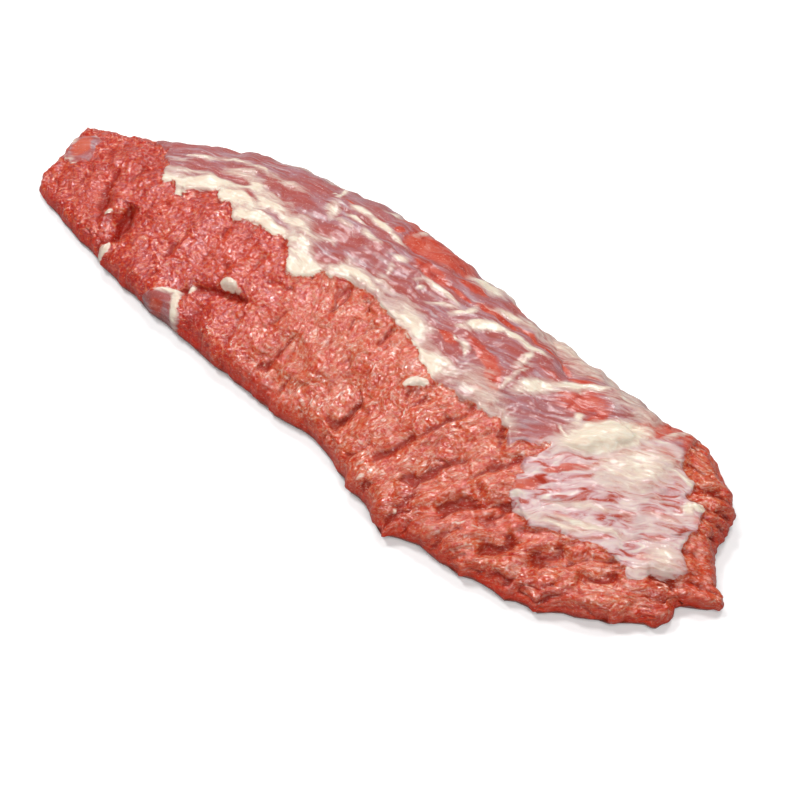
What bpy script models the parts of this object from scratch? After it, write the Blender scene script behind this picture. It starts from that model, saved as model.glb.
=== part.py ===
"""Raw beef flap meat: one long slab of coarse-grained muscle, lying flat on a table.

The slab is a closed surface over an outline drawn in plan. Its top rises from a steep cut wall on
the near side to a rounded back on the far side, and carries the relief of the meat: rounded fibre
bundles, creases between muscle folds, a thin fat cover and a few fat lumps. Its base is flat.

Frame: +X along the slab towards the end with the tail, +Y towards the side that keeps its
silverskin, +Z up, origin on the table under the middle of the slab. Lengths are in millimetres
until the mesh is made.
"""

import bpy
import numpy as np

MM = 0.001
NODE = "flap_meat"

# Outline in plan, as four sides. Near and far run from the left end to the right end, and the two
# ends run from the near side to the far side, so that each pair shares its corners.
NEAR_SIDE = (
    (-195, -49), (-180, -52), (-135, -57), (-70, -60), (-5, -58), (22, -55), (44, -57), (62, -61),
    (78, -65), (91, -67), (103, -62), (136, -56), (166, -46), (190, -28), (205, -16),
)
FAR_SIDE = (
    (-219, 0), (-206, 4), (-182, 16), (-134, 41), (-104, 53), (-74, 60), (-46, 65), (-20, 66),
    (10, 65), (60, 62), (100, 62), (134, 65), (160, 69), (174, 66), (185, 59),
)
LEFT_END = ((-195, -49), (-200, -45), (-203, -36), (-207, -26), (-214, -13), (-219, 0))
RIGHT_END = (
    (205, -16), (208, -8), (206, 1), (214, 6), (219, 15), (210, 20), (201, 29), (196, 41),
    (192, 52), (185, 59),
)

# Heights along the slab: stations in X, then the back's crown and the near side's cut wall.
STATIONS = (-215, -190, -160, -120, -80, -40, 0, 40, 80, 120, 160, 190, 215)
CROWN = (6, 11, 18, 26, 31, 35, 37, 37, 36, 32, 25, 18, 8)
WALL = (5, 8, 11, 14, 15, 15, 14, 14, 15, 14, 13, 12, 8)
CROWN_SHARE = 0.64
FAR_DROP = 0.16

# Rounding of the edge at each side, as shares of the skin's height there: how far in the rounding
# reaches on top, how far in below, and the height of the rim between them.
NEAR_ROUND = (0.42, 0.30, 0.32)
RIGHT_ROUND = (0.40, 0.30, 0.33)
FAR_ROUND = (0.78, 0.35, 0.38)
LEFT_ROUND = (0.50, 0.35, 0.38)

# Where the cover of fat and silverskin begins, from the left end round to the far side.
COVER_EDGE = (
    (-180, 17), (-170, 11), (-160, 10), (-154, 5), (-147, 3), (-144, -5), (-140, -9), (-133, -6),
    (-127, -11), (-120, -4), (-113, 5), (-106, 0), (-98, 2), (-88, -4), (-80, 0), (-65, 1), (-56, 5),
    (-50, 0), (-45, -7), (-40, -11), (-32, -5), (-29, 1), (-19, 2), (-10, 5), (0, 8), (8, 7), (16, 4),
    (28, 2), (37, 1), (48, -4), (60, -6), (80, -3), (100, 0), (105, -7), (112, 0), (120, 8),
    (118, -2), (115, -5), (120, -12), (122, -23), (128, -25), (139, -25), (145, -22), (155, -18),
    (162, -14), (170, -10), (180, -10), (186, -11), (189, -6), (194, -1), (198, 4), (200, 10),
    (194, 13), (191, 19), (191, 27), (187, 35), (176, 36), (174, 45), (166, 45), (160, 50), (155, 80),
    (-40, 80), (-200, 30),
)
COVER_RISE = 0.9

# Angle of the fibres from +X at stations along the slab, and how far the silverskin's streaks,
# which follow the far side, have drifted towards it by there.
GRAIN_AT = (-220, -180, -100, 0, 60, 120, 180, 220)
GRAIN_ANGLE = (130, 125, 100, 92, 80, 55, 45, 42)
DRIFT_AT = (-215, -150, -100, -50, 0, 60, 100, 150, 215)
DRIFT = (-38, 0, 20, 29, 32, 40, 54, 85, 130)

# Creases between the folds of muscle: depth, half width, points.
CREASES = (
    (2.6, 5.0, ((-173, -14), (-162, -30), (-155, -38), (-150, -46))),
    (5.4, 5.4, ((-141, -29), (-139, -37), (-134, -44), (-129, -50))),
    (1.6, 4.8, ((-159, -6), (-158, -13), (-155, -20))),
    (1.2, 5.0, ((-190, -16), (-182, -24), (-178, -36))),
    (3.2, 5.2, ((-78, -49), (-72, -42), (-64, -37), (-54, -34), (-44, -32))),
    (1.2, 4.8, ((-16, 1), (-11, -6), (-7, -13))),
    (1.0, 4.8, ((4, 5), (6, -5))),
    (1.0, 4.8, ((22, 1), (23, -10))),
    (3.6, 5.2, ((39, -33), (35, -41), (33, -50))),
    (1.8, 5.0, ((70, -29), (66, -42), (63, -52))),
    (2.8, 5.4, ((96, -22), (91, -32), (86, -41), (79, -52))),
    (2.2, 5.0, ((113, -27), (109, -38), (102, -48))),
    (2.4, 5.0, ((129, -22), (126, -30), (120, -40))),
    (2.4, 5.0, ((138, -31), (136, -41), (130, -49))),
    (2.0, 4.8, ((159, -21), (157, -31), (149, -38))),
    (2.0, 5.0, ((183, -13), (178, -20), (170, -28))),
    (2.0, 4.8, ((204, 1), (197, 2), (190, -4))),
    (1.4, 5.0, ((86, 6), (96, 0), (104, -10), (108, -20))),
    (1.0, 5.0, ((-104, -20), (-100, -30), (-101, -42))),
    (0.8, 5.0, ((-60, -8), (-56, -18), (-57, -28))),
    (1.4, 5.0, ((-12, -28), (-14, -38), (-12, -50))),
    (1.4, 5.0, ((70, 56), (88, 48), (104, 38))),
    (1.4, 5.0, ((146, 58), (140, 48), (137, 38))),
)

# Swellings and hollows: X, Y, half length, half width, angle of the length from +X, height.
SWELLINGS = (
    (-145, -38, 14, 6, 118, 2.6), (-185, -34, 16, 10, 120, 1.8), (-205, -17, 12, 8, 118, -1.2),
    (-62, -50, 16, 9, 95, -2.4), (-88, -52, 12, 8, 20, 1.6), (-100, -24, 30, 18, 100, 1.8),
    (-8, -50, 24, 8, 2, -2.2), (12, -36, 20, 11, 88, 2.2), (50, -42, 15, 8, 82, 2.4),
    (90, -58, 13, 7, 100, -2.2), (100, -44, 15, 8, 60, 2.8), (120, -46, 14, 8, 55, 2.2),
    (147, -41, 12, 8, 40, 3.0), (166, -28, 16, 8, 45, 2.2), (-62, -30, 26, 11, 25, 1.8),
    (132, 26, 18, 8, 60, 3.2), (60, 52, 30, 9, 20, 1.2), (112, 30, 18, 12, 62, -1.4),
    (196, 5, 16, 9, 40, 1.4), (172, 56, 12, 8, 150, 1.6), (180, 4, 20, 12, 45, -1.2),
)
FAT_LUMPS = (
    (-146, -39, 3.5, 3.0, 0, 1.4), (-130, -55, 5.5, 4.5, 60, 1.8), (-60, -32, 6.5, 4.5, 20, 1.8),
    (53, -12, 8.5, 3.8, 45, 1.6), (184, 35, 4.5, 4.0, 0, 1.8),
)

ROWS_ALONG = 120
ROWS_ACROSS = 37


def smooth_curve(points, count):
    """Catmull-Rom curve through the points, as count points evenly spaced along its length."""
    p = np.array(points, float)
    p = np.vstack([2 * p[0] - p[1], p, 2 * p[-1] - p[-2]])
    a, b, c, d = p[:-3, None], p[1:-2, None], p[2:-1, None], p[3:, None]
    t = np.linspace(0, 1, 24, endpoint=False)[:, None]
    bends = 2 * b + (c - a) * t + (2 * a - 5 * b + 4 * c - d) * t**2 + (3 * b - a - 3 * c + d) * t**3
    dense = np.vstack([bends.reshape(-1, 2) / 2, p[-2]])
    run = np.concatenate([[0], np.cumsum(np.linalg.norm(np.diff(dense, axis=0), axis=1))])
    even = np.linspace(0, run[-1], count)
    return np.stack([np.interp(even, run, dense[:, k]) for k in (0, 1)], axis=-1)


def at_station(x, values):
    """The smooth curve of these values over STATIONS, read at x."""
    curve = smooth_curve(list(zip(STATIONS, values)), 300)
    return np.interp(x, curve[:, 0], curve[:, 1])


def side(points, shares):
    """The points of an outline side at these shares of its length."""
    curve = smooth_curve(points, 1200)
    place = shares * (len(curve) - 1)
    return np.stack([np.interp(place, np.arange(len(curve)), curve[:, k]) for k in (0, 1)], axis=-1)


def ruled_grid(along, across):
    """Coons patch over the outline: the two ruled sheets between its sides, less the bilinear one."""
    near, far = side(NEAR_SIDE, along)[:, None], side(FAR_SIDE, along)[:, None]
    left, right = side(LEFT_END, across)[None], side(RIGHT_END, across)[None]
    s, t = along[:, None, None], across[None, :, None]
    ruled = (1 - t) * near + t * far + (1 - s) * left + s * right
    corners = (1 - s) * ((1 - t) * near[0] + t * far[0]) + s * ((1 - t) * near[-1] + t * far[-1])
    return ruled - corners


def plan_grid(along, across):
    """Grid over the outline whose lines run smoothly between its sides.

    A coarse Coons patch is relaxed until each inner point is the mean of its four neighbours, which
    keeps the bends of the ends from running right through it. What that moved is read at the wanted
    shares and added to their own patch, so that the outline stays exact.
    """
    s, t = np.linspace(0, 1, 129), np.linspace(0, 1, 41)
    coarse = ruled_grid(s, t)
    relaxed = coarse.copy()
    for _ in range(1500):
        relaxed[1:-1, 1:-1] = 0.25 * (relaxed[2:, 1:-1] + relaxed[:-2, 1:-1]
                                      + relaxed[1:-1, 2:] + relaxed[1:-1, :-2])
    moved = relaxed - coarse
    half = np.stack([[np.interp(across, t, line[:, k]) for line in moved] for k in (0, 1)], axis=-1)
    full = np.stack([[np.interp(along, s, line) for line in half[..., k].T] for k in (0, 1)], axis=-1)
    return ruled_grid(along, across) + full.transpose(1, 0, 2)


def line_place(x, y, points):
    """Distance from each place to a line through the points, and the share of it at the nearest."""
    nearest, share = np.full(np.shape(x), np.inf), np.zeros(np.shape(x))
    legs = list(zip(points[:-1], points[1:]))
    for number, ((x0, y0), (x1, y1)) in enumerate(legs):
        dx, dy = x1 - x0, y1 - y0
        along = np.clip(((x - x0) * dx + (y - y0) * dy) / (dx * dx + dy * dy), 0, 1)
        gap = np.hypot(x - x0 - along * dx, y - y0 - along * dy)
        share = np.where(gap < nearest, (number + along) / len(legs), share)
        nearest = np.minimum(gap, nearest)
    return nearest, share


def rim_rounding(x, y):
    """For each place in plan, its distance to the outline and the rounding of the nearest stretch."""
    rim, rounding = [], []
    for points, values in ((NEAR_SIDE, NEAR_ROUND), (RIGHT_END, RIGHT_ROUND),
                           (FAR_SIDE[::-1], FAR_ROUND), (LEFT_END[::-1], LEFT_ROUND)):
        length = np.linalg.norm(np.diff(np.array(points, float), axis=0), axis=1).sum()
        curve = smooth_curve(points, int(length / 2.5))
        rim.append(curve[:-1])
        rounding.append(np.tile(values, (len(curve) - 1, 1)))
    rim, rounding = np.vstack(rim + [rim[0][:1]]), np.vstack(rounding)
    around = np.vstack([rounding[-8:], rounding, rounding[:9]])
    rounding = np.stack([np.convolve(line, np.ones(17) / 17, "valid") for line in around.T], axis=-1)
    distance, share = line_place(x, y, rim)
    stretch = share * (len(rim) - 1)
    steps = np.arange(len(rim))
    return distance, [np.interp(stretch, steps, rounding[:, k]) for k in range(3)]


def quarter_round(distance, reach):
    """Quarter of an ellipse: 0 at the rim, 1 from reach inwards."""
    return np.sqrt(1 - (1 - np.clip(distance / reach, 0, 1)) ** 2)


def skin_height(x, share):
    """Height of the top before its edges are rounded, at this share of the way from near to far."""
    crown, wall = at_station(x, CROWN), at_station(x, WALL)
    rise = np.sin(np.pi / 2 * np.clip(share / CROWN_SHARE, 0, 1)) ** 1.4
    fall = FAR_DROP * (np.clip(share - CROWN_SHARE, 0, None) / (1 - CROWN_SHARE)) ** 2
    return wall + (crown - wall) * rise - crown * fall


def slab(along, across):
    """The slab before its relief: grids of plan points, of heights of top and base, and of how far
    up its rounded edge each top point is, from 0 at the rim to 1. Top and base share their rim."""
    plan = plan_grid(along, across)
    distance, rounding = rim_rounding(plan[..., 0], plan[..., 1])
    distance[[0, -1]] = distance[:, [0, -1]] = 0
    skin = skin_height(plan[..., 0], np.broadcast_to(across, plan.shape[:2]))
    reach, under, height = (skin * share for share in rounding)
    lift = quarter_round(distance, reach)
    top = height + (skin - height) * lift
    base = height * (1 - quarter_round(distance, under))
    return plan, top, base, lift


def even_shares(count, lengthwise):
    """Shares of the way along the slab, or across it, at even steps over the top's own length."""
    dense, middle = np.linspace(0, 1, 801), np.array([0, 0.5, 1])
    plan, top, _, _ = slab(dense, middle) if lengthwise else slab(middle, dense)
    line = np.dstack([plan, top])[:, 1] if lengthwise else np.dstack([plan, top])[1]
    run = np.concatenate([[0], np.cumsum(np.linalg.norm(np.diff(line, axis=0), axis=1))])
    return np.interp(np.linspace(0, run[-1], count), run, dense)


def lattice(i, j, seed):
    """One fixed number from 0 to 1 for each pair of whole numbers, mixed by multiplying and xor."""
    n = (i * 374761393 + j * 668265263 + seed * 362437) & 0xFFFFFFFF
    n = ((n ^ (n >> 13)) * 1274126177) & 0xFFFFFFFF
    return ((n ^ (n >> 16)) & 0xFFFF) / 65536


def noise(x, y, seed):
    """Gradient noise from about -1 to 1, with bumps one unit across."""
    i, j = np.floor(x).astype(np.int64), np.floor(y).astype(np.int64)
    total = np.zeros(np.shape(x))
    for right in (0, 1):
        for up in (0, 1):
            u, v = x - i - right, y - j - up
            turn = 2 * np.pi * lattice(i + right, j + up, seed)
            near_u, near_v = 1 - np.abs(u), 1 - np.abs(v)
            weight = (near_u**3 * (near_u * (6 * near_u - 15) + 10)
                      * near_v**3 * (near_v * (6 * near_v - 15) + 10))
            total += weight * (np.cos(turn) * u + np.sin(turn) * v)
    return 1.5 * total


def grain(x, y):
    """Distances across and along the fibres, which at x lean from +Y as GRAIN_ANGLE gives there."""
    lean = 1 / np.tan(np.radians(np.interp(x, GRAIN_AT, GRAIN_ANGLE)))
    return x - y * lean, y * np.hypot(1, lean)


def inside(x, y, points):
    """True where a line towards +X from the place crosses the closed outline an odd number of times."""
    odd = np.zeros(np.shape(x), bool)
    for (x0, y0), (x1, y1) in zip(points, points[1:] + points[:1]):
        if y0 != y1:
            crossing = x0 + (y - y0) * (x1 - x0) / (y1 - y0)
            odd ^= ((y0 > y) != (y1 > y)) & (x < crossing)
    return odd


def ease(value):
    """0 below 0, 1 above 1, and a smooth step between."""
    value = np.clip(value, 0, 1)
    return value * value * (3 - 2 * value)


def cover_share(x, y):
    """1 under the cover of fat and silverskin, 0 on bare lean meat, with 2 mm between."""
    distance, _ = line_place(x, y, COVER_EDGE + COVER_EDGE[:1])
    return ease(0.5 + np.where(inside(x, y, COVER_EDGE), distance, -distance) / 2)


def oval(x, y, place):
    """1 in the middle of an oval and 0 from its edge on, as (1 - r^2)^2."""
    middle_x, middle_y, long, wide, angle, _ = place
    turn = np.radians(angle)
    dx, dy = x - middle_x, y - middle_y
    u, v = dx * np.cos(turn) + dy * np.sin(turn), dy * np.cos(turn) - dx * np.sin(turn)
    return np.clip(1 - (u / long) ** 2 - (v / wide) ** 2, 0, 1) ** 2


def relief(x, y):
    """Height of the meat's relief over the smooth slab.

    On lean meat, |noise| stretched along the fibres gives round bundles with sharp valleys, coarse
    at the right end and faint at the left, where low lumps take over. Under the cover they are lower
    and the cover adds its own thickness and faint ridges along its streaks. Creases, swellings and
    fat lumps are added to both.
    """
    cover = cover_share(x, y)
    coarse = ease((x - 10) / 120)
    across, along = grain(x + 6 * noise(x / 40, y / 40, 1), y)
    height = 1.4 * noise(x / 42, y / 34, 2) + (1.3 - 0.5 * coarse) * noise(x / 15, y / 12, 7)
    bundles = (1.0 + 2.4 * coarse) * (np.abs(noise(across / 15, along / 44, 3)) - 0.3)
    strands = (0.8 + 1.0 * coarse) * (np.abs(noise(across / 9, along / 26, 4)) - 0.3)
    height += (1 - 0.6 * cover) * (bundles + strands)
    streak = y - np.interp(x, DRIFT_AT, DRIFT)
    height += cover * (COVER_RISE + 1.2 * np.abs(noise(x / 34, streak / 9, 5)))
    for place in SWELLINGS + FAT_LUMPS:
        height += place[-1] * oval(x, y, place)
    for depth, half_width, points in CREASES:
        gap, share = line_place(x + 1.5 * noise(x / 9, y / 9, 6), y, points)
        taper = np.sqrt(np.clip(1 - (2 * share - 1) ** 4, 0, 1))
        height -= depth * taper * np.exp(-((gap / half_width) ** 2))
    return height


def meat(along, across):
    """Top and base of the finished meat as two grids of points that share their rim.

    The relief moves the top along its own normals, less towards the rim, and then a ragged drift
    moves both top and base in plan.
    """
    plan, heights, base, lift = slab(along, across)
    x, y = plan[..., 0], plan[..., 1]
    top = np.dstack([plan, heights])
    normal = np.cross(np.gradient(top, axis=0), np.gradient(top, axis=1))
    normal /= np.linalg.norm(normal, axis=-1, keepdims=True) + 1e-12
    shift = relief(x, y) * np.clip(2 * lift, 0, 1) * np.clip(heights / 12, 0.35, 1)
    top += normal * shift[..., None]
    top[..., 2] = np.maximum(top[..., 2], base + 0.5 * (lift > 0))
    drift = np.stack([1.5 * noise(x / 13, y / 13, seed) + 0.8 * noise(x / 6, y / 6, seed + 1)
                      for seed in (21, 31)], axis=-1)
    top[..., :2] += drift
    return top, np.dstack([plan + drift, base])


# The solid


def shell(top, base):
    """Vertices and quads of one closed body from the two grids, with the rim's points used once."""
    rows, columns = top.shape[:2]
    number = np.arange(rows * columns).reshape(rows, columns)
    below = number.copy()
    below[1:-1, 1:-1] = rows * columns + np.arange((rows - 2) * (columns - 2)).reshape(rows - 2, -1)
    quads = []
    for grid, order in ((number, (0, 1, 2, 3)), (below, (0, 3, 2, 1))):
        corners = np.stack([grid[:-1, :-1], grid[1:, :-1], grid[1:, 1:], grid[:-1, 1:]], axis=-1)
        quads.append(corners.reshape(-1, 4)[:, order])
    points = np.vstack([top.reshape(-1, 3), base[1:-1, 1:-1].reshape(-1, 3)])
    return points, np.vstack(quads)


def raw_meat():
    """Wet red meat, one plain finish."""
    material = bpy.data.materials.new("raw meat")
    material.use_nodes = True
    finish = material.node_tree.nodes["Principled BSDF"]
    finish.inputs["Base Color"].default_value = (0.46, 0.07, 0.045, 1)
    finish.inputs["Roughness"].default_value = 0.35
    return material


for leftover in list(bpy.data.objects):
    bpy.data.objects.remove(leftover)

top, base = meat(even_shares(ROWS_ALONG, True), even_shares(ROWS_ACROSS, False))
points, quads = shell(top, base)
middle = (points[:, :2].min(axis=0) + points[:, :2].max(axis=0)) / 2
points[:, :2] -= middle
mesh = bpy.data.meshes.new(NODE)
mesh.from_pydata((points * MM).tolist(), [], quads.tolist())
mesh.shade_smooth()
mesh.materials.append(raw_meat())
bpy.context.scene.collection.objects.link(bpy.data.objects.new(NODE, mesh))
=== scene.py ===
"""Raw beef flap meat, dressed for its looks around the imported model.

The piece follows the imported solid: the outline, the heights, the creases, the swellings and the
bundles are the solid's own values and functions, on a grid eight times as fine. What is added is
finer than the solid can hold: the pebbled and fibrous grain of the lean meat, cracks at the bottom
of the creases, the ragged step of the cover, raised fat and sinews, and torn shreds at the edge.
Fields over the surface, such as how far a place is inside the cover, are kept as attributes, and
one material mixes lean meat, silverskin, web of thin fat and solid fat by them.

The values are in millimetres in the drawing's frame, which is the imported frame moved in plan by
the middle of the piece, and become metres when the mesh is made.
"""

from math import cos, radians, sin

import bpy
import numpy as np
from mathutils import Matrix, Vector


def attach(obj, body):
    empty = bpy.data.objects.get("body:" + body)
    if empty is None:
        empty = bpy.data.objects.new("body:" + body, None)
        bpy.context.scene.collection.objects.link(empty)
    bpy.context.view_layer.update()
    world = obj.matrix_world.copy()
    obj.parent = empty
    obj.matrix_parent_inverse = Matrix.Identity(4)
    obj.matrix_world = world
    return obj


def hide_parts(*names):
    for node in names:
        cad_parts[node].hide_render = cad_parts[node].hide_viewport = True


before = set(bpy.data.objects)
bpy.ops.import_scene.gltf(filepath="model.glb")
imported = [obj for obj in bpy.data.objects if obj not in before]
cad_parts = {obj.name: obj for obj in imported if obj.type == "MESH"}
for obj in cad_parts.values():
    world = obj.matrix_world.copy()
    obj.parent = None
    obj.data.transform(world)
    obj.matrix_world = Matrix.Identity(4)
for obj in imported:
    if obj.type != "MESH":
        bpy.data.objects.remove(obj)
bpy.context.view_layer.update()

MM = 0.001

# Outline in plan, as four sides. Near and far run from the left end to the right end, and the two
# ends run from the near side to the far side, so that each pair shares its corners.
NEAR_SIDE = (
    (-195, -49), (-180, -52), (-135, -57), (-70, -60), (-5, -58), (22, -55), (44, -57), (62, -61),
    (78, -65), (91, -67), (103, -62), (136, -56), (166, -46), (190, -28), (205, -16),
)
FAR_SIDE = (
    (-219, 0), (-206, 4), (-182, 16), (-134, 41), (-104, 53), (-74, 60), (-46, 65), (-20, 66),
    (10, 65), (60, 62), (100, 62), (134, 65), (160, 69), (174, 66), (185, 59),
)
LEFT_END = ((-195, -49), (-200, -45), (-203, -36), (-207, -26), (-214, -13), (-219, 0))
RIGHT_END = (
    (205, -16), (208, -8), (206, 1), (214, 6), (219, 15), (210, 20), (201, 29), (196, 41),
    (192, 52), (185, 59),
)

# Heights along the slab: stations in X, then the back's crown and the near side's cut wall.
# The crown lies at this share of the way from near to far, and the far side drops by a share of it.
STATIONS = (-215, -190, -160, -120, -80, -40, 0, 40, 80, 120, 160, 190, 215)
CROWN = (6, 11, 18, 26, 31, 35, 37, 37, 36, 32, 25, 18, 8)
WALL = (5, 8, 11, 14, 15, 15, 14, 14, 15, 14, 13, 12, 8)
CROWN_SHARE = 0.64
FAR_DROP = 0.16

# Rounding of the edge at each side, as shares of the skin's height there: how far in the rounding
# reaches on top, how far in below, and the height of the rim between them.
NEAR_ROUND = (0.42, 0.30, 0.32)
RIGHT_ROUND = (0.40, 0.30, 0.33)
FAR_ROUND = (0.78, 0.35, 0.38)
LEFT_ROUND = (0.50, 0.35, 0.38)
RIM_STEP = 2.5  # spacing of the points that stand for the outline
RIM_BLEND = 17  # points over which the rounding of one side passes into the next

# Where the cover of fat and silverskin begins, from the left end round to the far side, and how
# high its step stands over the lean meat.
COVER_EDGE = (
    (-180, 17), (-170, 11), (-160, 10), (-154, 5), (-147, 3), (-144, -5), (-140, -9), (-133, -6),
    (-127, -11), (-120, -4), (-113, 5), (-106, 0), (-98, 2), (-88, -4), (-80, 0), (-65, 1), (-56, 5),
    (-50, 0), (-45, -7), (-40, -11), (-32, -5), (-29, 1), (-19, 2), (-10, 5), (0, 8), (8, 7), (16, 4),
    (28, 2), (37, 1), (48, -4), (60, -6), (80, -3), (100, 0), (105, -7), (112, 0), (120, 8),
    (118, -2), (115, -5), (120, -12), (122, -23), (128, -25), (139, -25), (145, -22), (155, -18),
    (162, -14), (170, -10), (180, -10), (186, -11), (189, -6), (194, -1), (198, 4), (200, 10),
    (194, 13), (191, 19), (191, 27), (187, 35), (176, 36), (174, 45), (166, 45), (160, 50), (155, 80),
    (-40, 80), (-200, 30),
)
COVER_RISE = 0.9

# Angle of the fibres from +X at stations along the slab, and how far the silverskin's streaks,
# which follow the far side, have drifted towards it by there.
GRAIN_AT = (-220, -180, -100, 0, 60, 120, 180, 220)
GRAIN_ANGLE = (130, 125, 100, 92, 80, 55, 45, 42)
DRIFT_AT = (-215, -150, -100, -50, 0, 60, 100, 150, 215)
DRIFT = (-38, 0, 20, 29, 32, 40, 54, 85, 130)

# Creases between the folds of muscle: depth, half width, points. A pit runs along the bottom of
# each, as deep as its base depth and a share of the crease's own.
PIT_DEPTH = 0.4
PIT_SHARE = 0.36
PIT_WIDTH = 1.2
CREASES = (
    (2.6, 5.0, ((-173, -14), (-162, -30), (-155, -38), (-150, -46))),
    (5.4, 5.4, ((-141, -29), (-139, -37), (-134, -44), (-129, -50))),
    (1.6, 4.8, ((-159, -6), (-158, -13), (-155, -20))),
    (1.2, 5.0, ((-190, -16), (-182, -24), (-178, -36))),
    (3.2, 5.2, ((-78, -49), (-72, -42), (-64, -37), (-54, -34), (-44, -32))),
    (1.2, 4.8, ((-16, 1), (-11, -6), (-7, -13))),
    (1.0, 4.8, ((4, 5), (6, -5))),
    (1.0, 4.8, ((22, 1), (23, -10))),
    (3.6, 5.2, ((39, -33), (35, -41), (33, -50))),
    (1.8, 5.0, ((70, -29), (66, -42), (63, -52))),
    (2.8, 5.4, ((96, -22), (91, -32), (86, -41), (79, -52))),
    (2.2, 5.0, ((113, -27), (109, -38), (102, -48))),
    (2.4, 5.0, ((129, -22), (126, -30), (120, -40))),
    (2.4, 5.0, ((138, -31), (136, -41), (130, -49))),
    (2.0, 4.8, ((159, -21), (157, -31), (149, -38))),
    (2.0, 5.0, ((183, -13), (178, -20), (170, -28))),
    (2.0, 4.8, ((204, 1), (197, 2), (190, -4))),
    (1.4, 5.0, ((86, 6), (96, 0), (104, -10), (108, -20))),
    (1.0, 5.0, ((-104, -20), (-100, -30), (-101, -42))),
    (0.8, 5.0, ((-60, -8), (-56, -18), (-57, -28))),
    (1.4, 5.0, ((-12, -28), (-14, -38), (-12, -50))),
    (1.4, 5.0, ((70, 56), (88, 48), (104, 38))),
    (1.4, 5.0, ((146, 58), (140, 48), (137, 38))),
)

# Swellings and hollows: X, Y, half length, half width, angle of the length from +X, height.
SWELLINGS = (
    (-145, -38, 14, 6, 118, 2.6), (-185, -34, 16, 10, 120, 1.8), (-205, -17, 12, 8, 118, -1.2),
    (-62, -50, 16, 9, 95, -2.4), (-88, -52, 12, 8, 20, 1.6), (-100, -24, 30, 18, 100, 1.8),
    (-8, -50, 24, 8, 2, -2.2), (12, -36, 20, 11, 88, 2.2), (50, -42, 15, 8, 82, 2.4),
    (90, -58, 13, 7, 100, -2.2), (100, -44, 15, 8, 60, 2.8), (120, -46, 14, 8, 55, 2.2),
    (147, -41, 12, 8, 40, 3.0), (166, -28, 16, 8, 45, 2.2), (-62, -30, 26, 11, 25, 1.8),
    (132, 26, 18, 8, 60, 3.2), (60, 52, 30, 9, 20, 1.2), (112, 30, 18, 12, 62, -1.4),
    (196, 5, 16, 9, 40, 1.4), (172, 56, 12, 8, 150, 1.6), (180, 4, 20, 12, 45, -1.2),
)
# Lumps of fat: as the swellings. The last is the pad at the top of the web.
FAT_LUMPS = (
    (-146, -39, 3.5, 3.0, 0, 1.4), (-130, -55, 5.5, 4.5, 60, 1.8), (-60, -32, 6.5, 4.5, 20, 1.8),
    (53, -12, 8.5, 3.8, 45, 1.6), (184, 35, 4.5, 4.0, 0, 1.8), (133, 27, 19, 7, 58, 1.2),
)

# Grid of the fine surface. The underside is flat, so it needs only every sixth line.
ROWS_ALONG = 451
ROWS_ACROSS = 193
BASE_STEP = 6

# The coarse grid that is relaxed for the plan, and how many rounds that takes.
RELAXED_ALONG = 129
RELAXED_ACROSS = 41
RELAXING_ROUNDS = 1500

# How finely curves are drawn: between two of their points, over the stations, along an outline
# side, and along the lines whose length is shared out evenly.
CURVE_STEPS = 24
STATION_STEPS = 300
SIDE_STEPS = 1200
LENGTH_STEPS = 801

# A place is a crevice when it lies this deep below the mean of the grid steps around it.
HOLLOW_DEPTH = 1.2
HOLLOW_REACH = 7

# Cream fat over the cover. The band's lower side runs below the cover's edge, which cuts it off.
FAT_BAND = (
    (-148, -30), (-147, -3), (-138, 1), (-130, 6), (-124, 12), (-118, 20), (-109, 27), (-101, 25),
    (-93, 20), (-82, 22), (-72, 18), (-60, 20), (-50, 17), (-41, 18), (-36, 6), (-28, 4), (-22, 16),
    (-12, 17), (-2, 18), (8, 13), (18, 15), (28, 12), (38, 13), (42, 4), (60, 5), (60, -30),
)
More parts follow.
